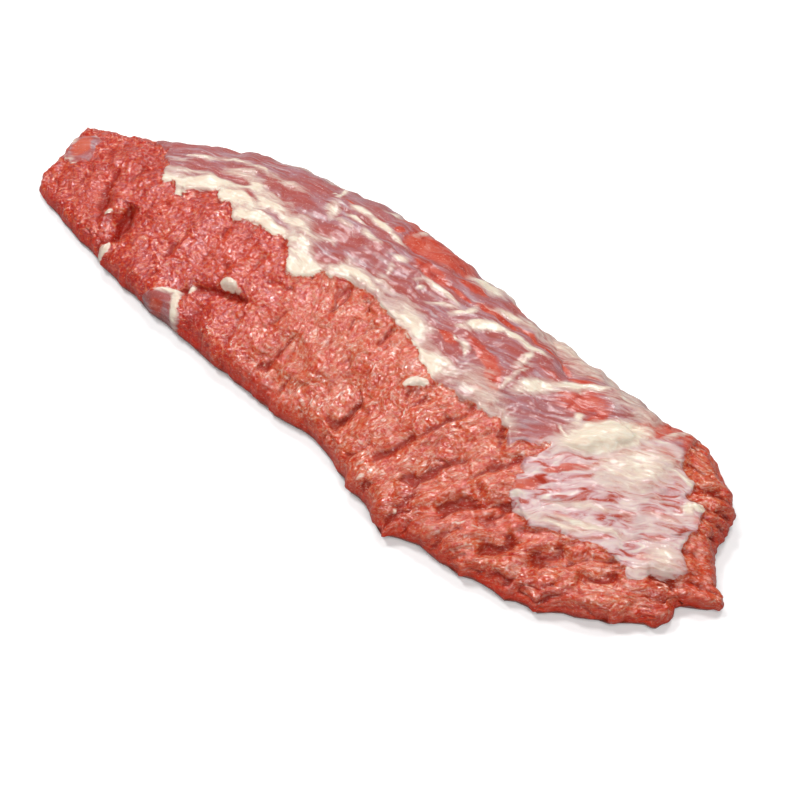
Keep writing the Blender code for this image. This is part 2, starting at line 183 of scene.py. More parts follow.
# Ovals of fat: X, Y, half length, half width, angle of the length from +X, strength.
FAT_PATCHES = (
    (-146, 8, 6, 2, 30, 0.5), (-137, 19, 9, 2, 35, 0.6), (-125, 27, 9, 2, 25, 0.7),
    (-108, 30, 14, 2, 5, 0.6), (-86, 31, 10, 2.2, 5, 0.6), (-100, 50, 14, 3.5, 12, 0.55),
    (-79, 55, 8, 3, 25, 0.6), (-56, 33, 5, 3, 130, 0.9), (-45, 42.5, 6, 1.6, 0, 1.0),
    (-30, 42, 9, 1.5, -4, 1.0), (-17, 41, 6, 1.4, -4, 0.8), (-42, 36, 5, 1.3, 0, 1.0),
    (-44, 30, 6, 1.2, 0, 0.7), (-27, 32, 6, 1.6, -15, 0.9), (-38, 57, 3, 4.5, 0, 0.8),
    (-15, 55, 1.6, 5, 0, 0.7), (-6, 32, 3, 1.6, 10, 0.9), (-3, 24, 5, 1.2, -50, 0.6),
    (10, 29, 4, 1.2, 60, 0.6), (14, 27, 2, 1.2, 60, 0.8), (22, 32.3, 10, 1.3, 3, 1.0),
    (31, 53.5, 9, 4, 5, 1.0), (38, 60, 12, 4, 10, 0.7), (29, 27, 7, 1.6, 35, 0.8),
    (38, 29, 4, 1.8, 55, 1.0), (41, 33, 4, 2, 80, 0.9), (52, 29, 6, 2.6, 45, 1.1),
    (58, 34, 5, 2.2, 30, 1.1), (67, 36.5, 7, 1.8, 8, 1.0), (77, 38.5, 7, 2.2, 15, 1.1),
    (79, 31, 7, 1.8, 100, 0.8), (84, 22, 6, 1.3, 95, 0.7), (84, 14, 5, 1.4, 85, 0.7),
    (55, 15.5, 3, 1.5, -20, 0.9), (46, 22, 3, 1.2, 30, 0.7), (94, 23, 9, 4, 62, 1.0),
    (104, 37, 9, 2.6, 45, 1.1), (112, 45, 7, 2, 45, 0.9), (118, 27, 2, 2, 0, 1.0),
    (120, 23, 3, 1.2, 60, 0.7), (126, 24, 8, 3.5, 30, 0.8), (133, 28, 17, 6.5, 60, 1.6),
    (66, 49, 8, 3, 5, 0.65), (82, 56, 16, 6, 3, 0.7), (98, 52, 12, 5, 5, 0.6),
    (110, 58, 12, 5, 0, 0.65), (124, 53, 10, 8, 20, 0.6), (136, 54, 7, 10, -10, 0.6),
    (56, 45, 8, 1.6, 20, 0.8), (60, 1, 14, 5, 10, 0.55), (78, 3, 14, 7, -10, 0.65),
    (94, 1, 10, 4, -10, 0.6), (84, -3, 12, 3, 10, 0.5), (153, 28, 18, 11, 60, 0.8),
    (150, 14, 12, 8, 60, 0.2), (164, 18, 12, 7, 50, 0.3), (176, 12, 14, 6, 20, 0.3),
    (190, 6, 8, 9, 50, 0.65), (187, -5, 8, 3, 55, 0.5), (180, 22, 9, 4, 60, 0.4),
    (173, 46, 5, 1.7, 35, 0.9), (171, 42, 8, 1.5, 20, 0.9), (182, 31, 2.6, 3, 0, 1.1),
    (146, -18, 16, 2.2, 25, 0.7), (158, -8, 18, 1.8, 32, 0.8), (150, -3, 16, 1.6, 36, 0.6),
    (180, 58, 10, 6, -35, 1.2), (152, 56, 1.5, 8, -15, 0.7), (140, 42, 5, 2.4, 55, 1.0),
    (118, 6, 4, 2, 40, 0.5), (128, 12, 6, 3, 40, 0.6), (-211, -15, 4, 2.4, -50, 0.8),
    (-197, -32, 3, 6, 10, 0.75), (-192, -28, 4, 1.6, 60, 0.6), (-74, -54, 7, 2.0, -45, 1.2),
    (-83, -51, 7, 1.4, 25, 1.1), (-165, 33, 14, 2, 28, 0.5), (-110, 56, 14, 2, 22, 0.7),
    (-60, 64, 10, 3, 10, 0.5), (80, 66, 24, 4, 0, 0.55), (20, 68, 12, 4, 0, 0.5),
)
# Mauve places inside the band where its fat is thin: as the fat patches.
THIN_PATCHES = (
    (-112, 16, 9, 2.6, 15, 0.9), (-36, 10, 6, 5, 0, 1.0), (-92, 12, 7, 1.6, -10, 0.7),
    (-128, 4, 6, 1.6, 30, 0.7), (-70, 9, 8, 1.6, -5, 0.6), (0, 13, 7, 1.4, 0, 0.6),
)
# Lines of fat over the cover, and of cream sinew in the lean meat: half width, points.
FAT_LINES = (
    (1.4, ((-76, 60), (-70, 54), (-65, 49), (-62, 43), (-58, 36))),
    (0.8, ((-71, 43), (-64, 44))),
    (0.8, ((-152, 9), (-144, 14), (-134, 21), (-122, 28), (-104, 31), (-84, 33))),
    (0.7, ((46, 17), (54, 15), (60, 11))),
    (1.0, ((114, 17), (124, 15), (132, 17))),
    (1.8, ((-212, -19), (-206, -26), (-198, -31), (-190, -28))),
    (1.4, ((-214, -12), (-206, -3), (-198, -4))),
)
SINEWS = (
    (0.7, ((-41, -40), (-38, -45), (-35, -50), (-31, -55))),
    (0.7, ((30, -30), (27, -36), (25, -43), (22, -50))),
    (0.7, ((20, -13), (16, -17), (13, -23))),
    (0.5, ((-12, -10), (-12, -17))),
    (0.6, ((31, -15), (32, -22))),
    (0.6, ((56, -21), (58, -27), (57, -32), (55, -40), (54, -49))),
    (0.5, ((-91, -17), (-89, -23))),
    (0.8, ((-16, -46), (-14, -50))),
    (0.7, ((-60, -51), (-52, -52), (-46, -54))),
    (0.6, ((18, -40), (19, -47), (16, -53))),
    (0.6, ((5, -40), (8, -44), (6, -49))),
    (0.8, ((66, -45), (67, -52), (66, -57))),
    (0.7, ((112, -50), (118, -44), (127, -38))),
    (0.6, ((122, -54), (130, -47), (138, -43))),
)
# Cream scraps on the lean meat: as the fat patches.
SCRAPS = (
    (-73, -44, 1.6, 2.4, 0, 1.0), (-54, -31, 3, 1.5, 25, 0.8), (15, -50, 2.5, 1.2, -20, 0.7),
    (53, -47, 2, 1.5, 0, 0.7), (67, -52, 3, 4, 0, 0.5), (62, -6, 2, 0.8, 30, 0.8),
    (-190, -7, 1.2, 2.4, 10, 0.6), (90, -61, 1.6, 2.2, 0, 0.8), (65, -58, 2.2, 1.2, 30, 0.8),
    (203, 33, 2.6, 7, 20, 1.2),
)
# Red muscle laid bare where the cover was trimmed: as the fat patches.
BARE_PATCHES = (
    (-56, 44, 6, 1.6, 0, 0.9), (2, 52, 20, 8, 4, 1.1), (-24, 60, 10, 6, 0, 1.1),
    (-22, 46, 2.4, 3, 0, 1.0), (-4, 45, 12, 3, 8, 0.9), (10, 37, 12, 4, -3, 1.0),
    (30, 45, 8, 3, 8, 1.0), (30, 37.5, 12, 1.2, 3, 0.8), (52, 40, 13, 2.2, 5, 1.0),
    (72, 44.5, 10, 1.4, 6, 0.9), (88, 45, 10, 1.2, -4, 0.9), (46, 14, 6, 2.6, 0, 0.9),
    (66, 18, 13, 3.5, -10, 1.0), (77, 13, 8, 3.5, -45, 1.0), (52, 56, 9, 6, -10, 0.9),
    (95, 34, 12, 6, 20, 0.55), (112, 34, 14, 9, 40, 0.8), (104, 43, 8, 3, 20, 0.8),
    (125, 32, 4, 4.5, 30, 1.2), (117, 51, 3, 2, 0, 0.9), (106, 50, 5, 1.5, 40, 0.7),
    (143, 47, 5, 9, -35, 1.1), (149, 60, 7, 12, -20, 1.0), (163, 60, 9, 8, 0, 1.1),
    (168, 52, 10, 5, -20, 1.1), (182, 46, 12, 5, -35, 1.2), (160, 42, 8, 3, 30, 0.6),
    (155, 45, 6, 3, 30, 0.7), (188, 30, 3, 4, 0, 0.6), (172, 36, 4, 2, 20, 0.6),
    (185, 1, 7, 4, 30, 0.6), (148, -13, 7, 2, 30, 0.7), (124, -16, 7, 2, 50, 1.1),
    (134, 5, 9, 1.8, 50, 1.0), (128, -2, 5, 1.4, 50, 0.9), (60, 2, 3, 2, 0, 0.6),
    (77, 4, 3, 1.6, 0, 0.7), (-206, 2, 12, 6, 15, 1.1), (-188, 14, 12, 5, 25, 1.0),
    (-202, -16, 8, 5, 120, 1.0), (-83, -58, 4, 2.5, 0, 0.8),
)
# The web of thin fat at the right end, and the skinned patches at the left end and the near edge.
WEB = (
    (112, 3), (119, -6), (120, -24), (140, -27), (160, -19), (172, -13), (189, -13), (201, 4),
    (197, 13), (193, 22), (191, 34), (179, 38), (177, 47), (166, 47), (158, 51), (150, 52),
    (143, 44), (136, 40), (128, 22), (120, 12),
)
LEFT_SKIN = ((-212, -12), (-204, -5), (-197, -6), (-191, -20), (-193, -28), (-201, -29), (-208, -19))
NEAR_SKIN = ((-98, -64), (-88, -54), (-81, -48), (-76, -48), (-72, -53), (-67, -58), (-66, -66))

# Tone of the lean meat: orange where positive, dark crimson where negative. The crimson, in the
# hollows and on the wall along the near edge, is the meat's deeper red and painted shade there.
# As the fat patches.
TONES = (
    (-75, -18, 26, 16, 0, 0.9), (-165, -30, 16, 12, 120, 0.5), (-120, -20, 14, 12, 0, 0.4),
    (110, 4, 14, 6, 45, 1.0), (124, -18, 8, 6, 50, 1.0), (-60, -55, 12, 7, 0, -1.2),
    (-10, -57, 26, 6, 0, -1.2), (88, -50, 8, 12, 20, -0.9), (96, -60, 14, 6, 0, -0.9),
    (-186, -49, 16, 6, -10, -0.8), (160, -44, 40, 7, 28, -0.6), (120, -38, 50, 16, 38, 0.7),
    (207, 12, 12, 30, 0, 0.8), (200, -8, 10, 12, 45, -0.7), (148, -38, 8, 6, 30, -0.8),
    (165, -22, 20, 8, 35, 0.3), (-135, -38, 8, 12, 30, -0.8), (30, -8, 20, 8, 0, 0.3),
    (-202, -16, 12, 9, 120, 1.2),
)
# Torn shreds that stand out of the edge: place in plan, half width, length.
SHREDS = (
    (-112, -60, 2.2, 1.6), (-157, -56, 2.0, 1.4), (-10, -58, 2.6, 1.4), (60, -61, 2.6, 1.8),
    (91, -67, 1.8, 2.6), (118, -59, 2.6, 1.4), (130, -57, 1.6, 2.0), (151, -51, 1.8, 1.6),
    (164, -46, 2.8, 2.4), (168, -44, 1.6, 1.4), (192, -27, 2.6, 1.6), (204, -16, 3.0, 1.6),
    (219, 10, 2.0, 1.8), (38, 65, 2.4, 1.8), (57, 63, 2.0, 1.8), (160, 68, 2.6, 1.4),
    (-20, 66, 3, 1.2),
)


def smooth_curve(points, count):
    """Catmull-Rom curve through the points, as count points evenly spaced along its length."""
    p = np.array(points, float)
    p = np.vstack([2 * p[0] - p[1], p, 2 * p[-1] - p[-2]])
    a, b, c, d = p[:-3, None], p[1:-2, None], p[2:-1, None], p[3:, None]
    t = np.linspace(0, 1, CURVE_STEPS, endpoint=False)[:, None]
    bends = 2 * b + (c - a) * t + (2 * a - 5 * b + 4 * c - d) * t**2 + (3 * b - a - 3 * c + d) * t**3
    dense = np.vstack([bends.reshape(-1, 2) / 2, p[-2]])
    run = np.concatenate([[0], np.cumsum(np.linalg.norm(np.diff(dense, axis=0), axis=1))])
    even = np.linspace(0, run[-1], count)
    return np.stack([np.interp(even, run, dense[:, k]) for k in (0, 1)], axis=-1)


def at_station(x, values):
    """The smooth curve of these values over STATIONS, read at x."""
    curve = smooth_curve(list(zip(STATIONS, values)), STATION_STEPS)
    return np.interp(x, curve[:, 0], curve[:, 1])


def side(points, shares):
    """The points of an outline side at these shares of its length."""
    curve = smooth_curve(points, SIDE_STEPS)
    place = shares * (len(curve) - 1)
    return np.stack([np.interp(place, np.arange(len(curve)), curve[:, k]) for k in (0, 1)], axis=-1)


def ruled_grid(along, across):
    """Coons patch over the outline: the two ruled sheets between its sides, less the bilinear one."""
    near, far = side(NEAR_SIDE, along)[:, None], side(FAR_SIDE, along)[:, None]
    left, right = side(LEFT_END, across)[None], side(RIGHT_END, across)[None]
    s, t = along[:, None, None], across[None, :, None]
    ruled = (1 - t) * near + t * far + (1 - s) * left + s * right
    corners = (1 - s) * ((1 - t) * near[0] + t * far[0]) + s * ((1 - t) * near[-1] + t * far[-1])
    return ruled - corners


def plan_grid(along, across):
    """Grid over the outline whose lines run smoothly between its sides.

    A coarse Coons patch is relaxed until each inner point is the mean of its four neighbours, which
    keeps the bends of the ends from running right through it. What that moved is read at the wanted
    shares and added to their own patch, so that the outline stays exact.
    """
    s, t = np.linspace(0, 1, RELAXED_ALONG), np.linspace(0, 1, RELAXED_ACROSS)
    coarse = ruled_grid(s, t)
    relaxed = coarse.copy()
    for _ in range(RELAXING_ROUNDS):
        relaxed[1:-1, 1:-1] = 0.25 * (relaxed[2:, 1:-1] + relaxed[:-2, 1:-1]
                                      + relaxed[1:-1, 2:] + relaxed[1:-1, :-2])
    moved = relaxed - coarse
    half = np.stack([[np.interp(across, t, line[:, k]) for line in moved] for k in (0, 1)], axis=-1)
    full = np.stack([[np.interp(along, s, line) for line in half[..., k].T] for k in (0, 1)], axis=-1)
    return ruled_grid(along, across) + full.transpose(1, 0, 2)


def line_place(x, y, points):
    """Distance from each place to a line through the points, and the share of it at the nearest."""
    nearest, share = np.full(np.shape(x), np.inf), np.zeros(np.shape(x))
    legs = list(zip(points[:-1], points[1:]))
    for number, ((x0, y0), (x1, y1)) in enumerate(legs):
        dx, dy = x1 - x0, y1 - y0
        along = np.clip(((x - x0) * dx + (y - y0) * dy) / (dx * dx + dy * dy), 0, 1)
        gap = np.hypot(x - x0 - along * dx, y - y0 - along * dy)
        share = np.where(gap < nearest, (number + along) / len(legs), share)
        nearest = np.minimum(gap, nearest)
    return nearest, share


def rim_rounding(x, y):
    """For each place in plan, its distance to the outline and the rounding of the nearest stretch."""
    rim, rounding = [], []
    for points, values in ((NEAR_SIDE, NEAR_ROUND), (RIGHT_END, RIGHT_ROUND),
                           (FAR_SIDE[::-1], FAR_ROUND), (LEFT_END[::-1], LEFT_ROUND)):
        length = np.linalg.norm(np.diff(np.array(points, float), axis=0), axis=1).sum()
        curve = smooth_curve(points, int(length / RIM_STEP))
        rim.append(curve[:-1])
        rounding.append(np.tile(values, (len(curve) - 1, 1)))
    rim, rounding = np.vstack(rim + [rim[0][:1]]), np.vstack(rounding)
    around = np.vstack([rounding[-(RIM_BLEND // 2) :], rounding, rounding[: RIM_BLEND // 2 + 1]])
    even = np.ones(RIM_BLEND) / RIM_BLEND
    rounding = np.stack([np.convolve(line, even, "valid") for line in around.T], axis=-1)
    distance, share = line_place(x, y, rim)
    stretch = share * (len(rim) - 1)
    steps = np.arange(len(rim))
    return distance, [np.interp(stretch, steps, rounding[:, k]) for k in range(3)]


def quarter_round(distance, reach):
    """Quarter of an ellipse: 0 at the rim, and 1 from this reach inwards."""
    return np.sqrt(1 - (1 - np.clip(distance / reach, 0, 1)) ** 2)


def skin_height(x, share):
    """Height of the top before its edges are rounded, at this share of the way from near to far."""
    crown, wall = at_station(x, CROWN), at_station(x, WALL)
    rise = np.sin(np.pi / 2 * np.clip(share / CROWN_SHARE, 0, 1)) ** 1.4
    fall = FAR_DROP * (np.clip(share - CROWN_SHARE, 0, None) / (1 - CROWN_SHARE)) ** 2
    return wall + (crown - wall) * rise - crown * fall


def slab(along, across):
    """The slab before its relief, as grids of plan points, of heights of top and base, and of lift.

    Lift is how far up its rounded edge each top point is, from 0 at the rim to 1. Top and base
    share their rim.
    """
    plan = plan_grid(along, across)
    distance, rounding = rim_rounding(plan[..., 0], plan[..., 1])
    distance[[0, -1]] = distance[:, [0, -1]] = 0
    skin = skin_height(plan[..., 0], np.broadcast_to(across, plan.shape[:2]))
    reach, under, height = (skin * share for share in rounding)
    lift = quarter_round(distance, reach)
    top = height + (skin - height) * lift
    base = height * (1 - quarter_round(distance, under))
    return plan, top, base, lift


def even_shares(count, lengthwise):
    """Shares of the way along the slab, or across it, at even steps over the top's own length."""
    dense, middle = np.linspace(0, 1, LENGTH_STEPS), np.array([0, 0.5, 1])
    plan, top, _, _ = slab(dense, middle) if lengthwise else slab(middle, dense)
    line = np.dstack([plan, top])[:, 1] if lengthwise else np.dstack([plan, top])[1]
    run = np.concatenate([[0], np.cumsum(np.linalg.norm(np.diff(line, axis=0), axis=1))])
    return np.interp(np.linspace(0, run[-1], count), run, dense)


def lattice(i, j, seed):
    """One fixed number from 0 to 1 for each pair of whole numbers, mixed by multiplying and xor."""
    n = (i * 374761393 + j * 668265263 + seed * 362437) & 0xFFFFFFFF
    n = ((n ^ (n >> 13)) * 1274126177) & 0xFFFFFFFF
    return ((n ^ (n >> 16)) & 0xFFFF) / 65536


def noise(x, y, seed):
    """Gradient noise from about -1 to 1, with bumps one unit across."""
    i, j = np.floor(x).astype(np.int64), np.floor(y).astype(np.int64)
    total = np.zeros(np.shape(x))
    for right in (0, 1):
        for up in (0, 1):
            u, v = x - i - right, y - j - up
            turn = 2 * np.pi * lattice(i + right, j + up, seed)
            near_u, near_v = 1 - np.abs(u), 1 - np.abs(v)
            weight = (near_u**3 * (near_u * (6 * near_u - 15) + 10)
                      * near_v**3 * (near_v * (6 * near_v - 15) + 10))
            total += weight * (np.cos(turn) * u + np.sin(turn) * v)
    return 1.5 * total


def grain(x, y):
    """Distances across and along the fibres, which at x lean from +Y as GRAIN_ANGLE gives there."""
    lean = 1 / np.tan(np.radians(np.interp(x, GRAIN_AT, GRAIN_ANGLE)))
    return x - y * lean, y * np.hypot(1, lean)


def inside(x, y, points):
    """True where a line towards +X from the place crosses the outline an odd number of times."""
    odd = np.zeros(np.shape(x), bool)
    for (x0, y0), (x1, y1) in zip(points, points[1:] + points[:1]):
        if y0 != y1:
            crossing = x0 + (y - y0) * (x1 - x0) / (y1 - y0)
            odd ^= ((y0 > y) != (y1 > y)) & (x < crossing)
    return odd


def ease(value):
    """0 below 0, 1 above 1, and a smooth step between."""
    value = np.clip(value, 0, 1)
    return value * value * (3 - 2 * value)


def polygon_distance(x, y, points):
    """Distance to a closed outline, positive inside it."""
    distance, _ = line_place(x, y, points + points[:1])
    return np.where(inside(x, y, points), distance, -distance)


def oval(x, y, place):
    """1 in the middle of an oval and 0 from its edge on, as (1 - r^2)^2."""
    middle_x, middle_y, long, wide, angle, _ = place
    turn = np.radians(angle)
    dx, dy = x - middle_x, y - middle_y
    u, v = dx * np.cos(turn) + dy * np.sin(turn), dy * np.cos(turn) - dx * np.sin(turn)
    return np.clip(1 - (u / long) ** 2 - (v / wide) ** 2, 0, 1) ** 2


def solid_relief(x, y):
    """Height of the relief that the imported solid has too.

    On lean meat, |noise| stretched along the fibres gives round bundles with sharp valleys, coarse
    at the right end and faint at the left, where low lumps take over. Under the cover they are
    lower, and faint ridges run along its streaks. Creases and swellings are added to both.
    """
    cover = ease(0.5 + polygon_distance(x, y, COVER_EDGE) / 2)
    coarse = ease((x - 10) / 120)
    across, along = grain(x + 6 * noise(x / 40, y / 40, 1), y)
    height = 1.4 * noise(x / 42, y / 34, 2) + (1.3 - 0.5 * coarse) * noise(x / 15, y / 12, 7)
    bundles = (1.0 + 2.4 * coarse) * (np.abs(noise(across / 15, along / 44, 3)) - 0.3)
    strands = (0.8 + 1.0 * coarse) * (np.abs(noise(across / 9, along / 26, 4)) - 0.3)
    height += (1 - 0.6 * cover) * (bundles + strands)
    streak = y - np.interp(x, DRIFT_AT, DRIFT)
    height += cover * 1.2 * np.abs(noise(x / 34, streak / 9, 5))
    for place in SWELLINGS:
        height += place[-1] * oval(x, y, place)
    for depth, half_width, points in CREASES:
        gap, share = line_place(x + 1.5 * noise(x / 9, y / 9, 6), y, points)
        taper = np.sqrt(np.clip(1 - (2 * share - 1) ** 4, 0, 1))
        height -= depth * taper * np.exp(-((gap / half_width) ** 2))
    return height


def patches(x, y, places):
    """The strongest oval at each place, each falling from its strength to 0 at twice its size."""
    field = np.zeros(np.shape(x))
    for middle_x, middle_y, long, wide, angle, strength in places:
        wider = (middle_x, middle_y, 2 * long, 2 * wide, angle, strength)
        field = np.maximum(field, strength * oval(x, y, wider))
    return field


def lines(x, y, places):
    """1 along each line, falling to 0.37 at its half width, and weaker at its ends and in places."""
    field = np.zeros(np.shape(x))
    wander_x, wander_y = 0.9 * noise(x / 4, y / 4, 41), 0.9 * noise(x / 4, y / 4, 42)
    for half_width, points in places:
        gap, share = line_place(x + wander_x, y + wander_y, points)
        taper = np.clip(1 - (2 * share - 1) ** 6, 0, 1)
        field = np.maximum(field, taper * np.exp(-((gap / half_width) ** 2)))
    return field * ease(0.9 + 1.6 * noise(x / 6, y / 6, 43))


def unrolled(points):
    """Two distances over the surface, along and across, which equal X and Y in the grid's middle.

    The steps between neighbours are added up outwards from the middle line each way, so that a
    pattern drawn in them isn't stretched where the surface turns down at its edges.
    """
    result = []
    for axis in (0, 1):
        lengths = np.linalg.norm(np.diff(points, axis=axis), axis=-1)
        flat = np.linalg.norm(np.diff(points[..., :2], axis=axis), axis=-1)
        more = np.cumsum(lengths - flat, axis=axis)
        more = np.insert(more, 0, 0, axis=axis)
        middle = more.shape[axis] // 2
        result.append(points[..., axis] + more - np.take(more, [middle], axis=axis))
    return result


def fields(x, y):
    """What covers the meat at each place, in millimetres or from 0 to 1, by the field's name."""
    ragged = 1.3 * noise(x / 6, y / 6, 51) + 0.7 * noise(x / 2.4, y / 2.4, 52)
    cover = polygon_distance(x, y, COVER_EDGE) + ragged
    skin = np.maximum(polygon_distance(x, y, LEFT_SKIN), polygon_distance(x, y, NEAR_SKIN))
    skin += 0.6 * ragged
    streak = y - np.interp(x, DRIFT_AT, DRIFT)
    band = polygon_distance(x, y, FAT_BAND) + 3 * noise(x / 16, streak / 4, 53)
    thick = 0.85 + 0.5 * noise(x / 22, streak / 7, 54) - patches(x, y, THIN_PATCHES)
    fat = np.maximum(ease(0.5 + band / 14) * np.clip(thick, 0, 1.1), patches(x, y, FAT_PATCHES))
    fat = np.maximum(fat, lines(x, y, FAT_LINES))
    sinew = np.maximum(0.8 * lines(x, y, SINEWS), patches(x, y, SCRAPS))
    for place in FAT_LUMPS:
        sinew = np.maximum(sinew, ease(2.2 * oval(x + 0.4 * ragged, y - 0.4 * ragged, place)))
    return {
        "cover": np.maximum(cover, skin),
        "fat": fat,
        "bare": patches(x, y, BARE_PATCHES),
        "web": ease(0.5 + polygon_distance(x, y, WEB) / 5),
        "sinew": sinew,
        # Orange tone, and crimson that is partly painted shade in the hollows at the near edge
        "tone_and_shade": sum(place[-1] * oval(x, y, place) for place in TONES),
    }


def fine_relief(x, y, over_x, over_y, field):
    """Height of what is finer than the solid, and the cover's share, from 0 to 1.

    Lean meat is pebbled at the left, |noise| in round bumps about 3 mm across, and turns fibrous
    to the right, |noise| stretched along the fibres. Cracks follow the lines where a stretched
    noise is 0, wherever a broad one is high, and a narrow pit runs along each crease. The cover
    has faint threads, and fat and sinews stand a little out of it.
    """
    cover = ease(0.5 + field["cover"] / 1.2)
    fat, sinew = ease(2.5 * field["fat"] - 0.7), ease(2 * field["sinew"] - 0.4)
    across, along = grain(over_x, over_y)
    fibrous, coarse = ease((x + 90) / 120), ease((x - 10) / 120)
    pebbles = np.abs(noise(over_x / 3.4, over_y / 3.8, 61))
    pebbles += 0.5 * np.abs(noise(over_x / 2, over_y / 2, 62))
    fibres = np.abs(noise(across / 3.2, along / 5.5, 63))
    fibres += 0.5 * np.abs(noise(across / 2.2, along / 3.2, 64))
    folds = np.abs(noise(across / 5.5, along / 17, 65)) - 0.3
    cracks = np.exp(-((noise(across / 8, along / 17, 70) / 0.09) ** 2))
    cracks *= ease(0.3 + 3 * noise(x / 14, y / 14, 71))
    lean = 0.9 * (1 - 0.5 * fibrous) * (pebbles - 0.4) + 0.6 * fibrous * (fibres - 0.4)
    lean += (0.4 + 0.7 * coarse) * folds - cracks
    streak = over_y - np.interp(x, DRIFT_AT, DRIFT)
    threads = np.abs(noise(over_x / 18, streak / 2.6, 66)) - 0.3
    height = (1 - cover) * (1 - sinew) * lean + cover * (0.45 * threads * (1 - fat) + 0.4 * fat)
    height += cover * field["web"] * 0.35 * (np.abs(noise(across / 3.4, along / 11, 67)) - 0.3)
    height += 0.35 * sinew
    for place in FAT_LUMPS:
        height += place[-1] * np.sqrt(oval(x, y, place))
    wander_x = x + 2.0 * noise(x / 5, y / 5, 68)
    wander_y = y + 1.5 * noise(x / 6, y / 6, 69)
    for depth, _, points in CREASES:
        gap, share = line_place(wander_x, wander_y, points)
        taper = np.clip(1 - (2 * share - 1) ** 4, 0, 1)
        height -= (PIT_DEPTH + PIT_SHARE * depth) * taper * np.exp(-((gap / PIT_WIDTH) ** 2))
    return height, cover


def softened(height, reach):
    """Mean of the heights within this many grid steps each way."""
    for axis in (0, 1):
        padding = [(reach + 1, reach) if k == axis else (0, 0) for k in (0, 1)]
        total = np.cumsum(np.pad(height, padding, mode="edge"), axis=axis)
        ends = np.take(total, range(2 * reach + 1, total.shape[axis]), axis=axis)
        starts = np.take(total, range(0, total.shape[axis] - 2 * reach - 1), axis=axis)
        height = (ends - starts) / (2 * reach + 1)
    return height


def meat(along, across):
    """Top and base of the meat as two grids of points that share their rim, with the top's fields.

    The relief moves the top along its own normals, less towards the rim. A ragged drift then moves
    top and base in plan, and each shred pulls the edge near it outwards.
    """
    plan, heights, base, lift = slab(along, across)
    x, y = plan[..., 0], plan[..., 1]
    top = np.dstack([plan, heights])
    normal = np.cross(np.gradient(top, axis=0), np.gradient(top, axis=1))
    normal /= np.linalg.norm(normal, axis=-1, keepdims=True) + 1e-12
    over_x, over_y = unrolled(top)
    field = fields(x, y)
    fine, cover = fine_relief(x, y, over_x, over_y, field)
    fine *= np.clip(heights / 8, 0.4, 1) * np.clip(0.3 + 5 * lift, 0, 1)
    broad = solid_relief(x, y) * np.clip(heights / 12, 0.35, 1) * np.clip(2 * lift, 0, 1)
    step = COVER_RISE * cover * np.clip(2 * lift, 0, 1)
    top += normal * (broad + fine + step)[..., None]
    top[..., 2] = np.maximum(top[..., 2], base + 0.5 * (lift > 0))
    drift = np.stack([1.5 * noise(x / 13, y / 13, seed) + 0.8 * noise(x / 6, y / 6, seed + 1)
                      for seed in (21, 31)], axis=-1)
    for k, seed in enumerate((23, 33)):
        drift[..., k] += 0.7 * (1 - lift) * noise(x / 3, y / 3, seed)
    for place_x, place_y, half_width, length in SHREDS:
        nearness = np.exp(-((x - place_x) ** 2 + (y - place_y) ** 2) / half_width**2)
        outward = np.array([place_x * 0.15, place_y])
        drift += length * nearness[..., None] * outward / np.linalg.norm(outward)
    top[..., :2] += drift
    across_grain, along_grain = grain(over_x, over_y)
    relief = broad + fine
    # How far a place lies below the mean around it; the material paints shade into these hollows
    field["hollow"] = np.clip((softened(relief, HOLLOW_REACH) - relief) / HOLLOW_DEPTH, -1, 1)
    # How far down the rounded edge a place is; the material paints it redder, partly as shade
    field["wall"] = 1 - lift
    field["grain"] = np.dstack([across_grain, along_grain, top[..., 2]])
    field["streak"] = np.dstack([over_x, over_y - np.interp(x, DRIFT_AT, DRIFT), top[..., 2]])
    return top, np.dstack([plan + drift, base]), field


# The mesh


def shell(top, base):
    """Vertices and faces of one closed body: the fine top, and the base on every sixth line.

    The outermost faces of the base have the top's rim points along their outer sides, so that no
    gap is left between the fine rim and the coarse base.
    """
    rows, columns = top.shape[:2]
    number = np.arange(rows * columns).reshape(rows, columns)
    corners = (number[:-1, :-1], number[1:, :-1], number[1:, 1:], number[:-1, 1:])
    faces = np.stack(corners, axis=-1).reshape(-1, 4).tolist()
    coarse = base[::BASE_STEP, ::BASE_STEP]
    below = number[::BASE_STEP, ::BASE_STEP].copy()
    inner = coarse[1:-1, 1:-1].reshape(-1, 3)
    below[1:-1, 1:-1] = rows * columns + np.arange(len(inner)).reshape(coarse.shape[0] - 2, -1)
    corners = (below[:-1, :-1], below[:-1, 1:], below[1:, 1:], below[1:, :-1])
    faces += np.stack(corners, axis=-1)[1:-1, 1:-1].reshape(-1, 4).tolist()
    last_row, last_column = below.shape[0] - 2, below.shape[1] - 2
    along_rim = [(i, j) for i in range(last_row + 1) for j in range(last_column + 1)
                 if i in (0, last_row) or j in (0, last_column)]
    for i, j in along_rim:
        rows_here = slice(i * BASE_STEP, (i + 1) * BASE_STEP + 1)
        columns_here = slice(j * BASE_STEP, (j + 1) * BASE_STEP + 1)
        patch = number[rows_here, columns_here].tolist()
        loop = patch[0] if i == 0 else below[i, j : j + 2].tolist()
        loop = loop + ([line[-1] for line in patch[1:]] if j == last_column
                       else [int(below[i + 1, j + 1])])
        loop = loop + (patch[-1][-2::-1] if i == last_row else [int(below[i + 1, j])])
        loop = loop + ([line[0] for line in patch[-2:0:-1]] if j == 0 else [])
        faces.append(loop)
    return np.vstack([top.reshape(-1, 3), inner]), faces


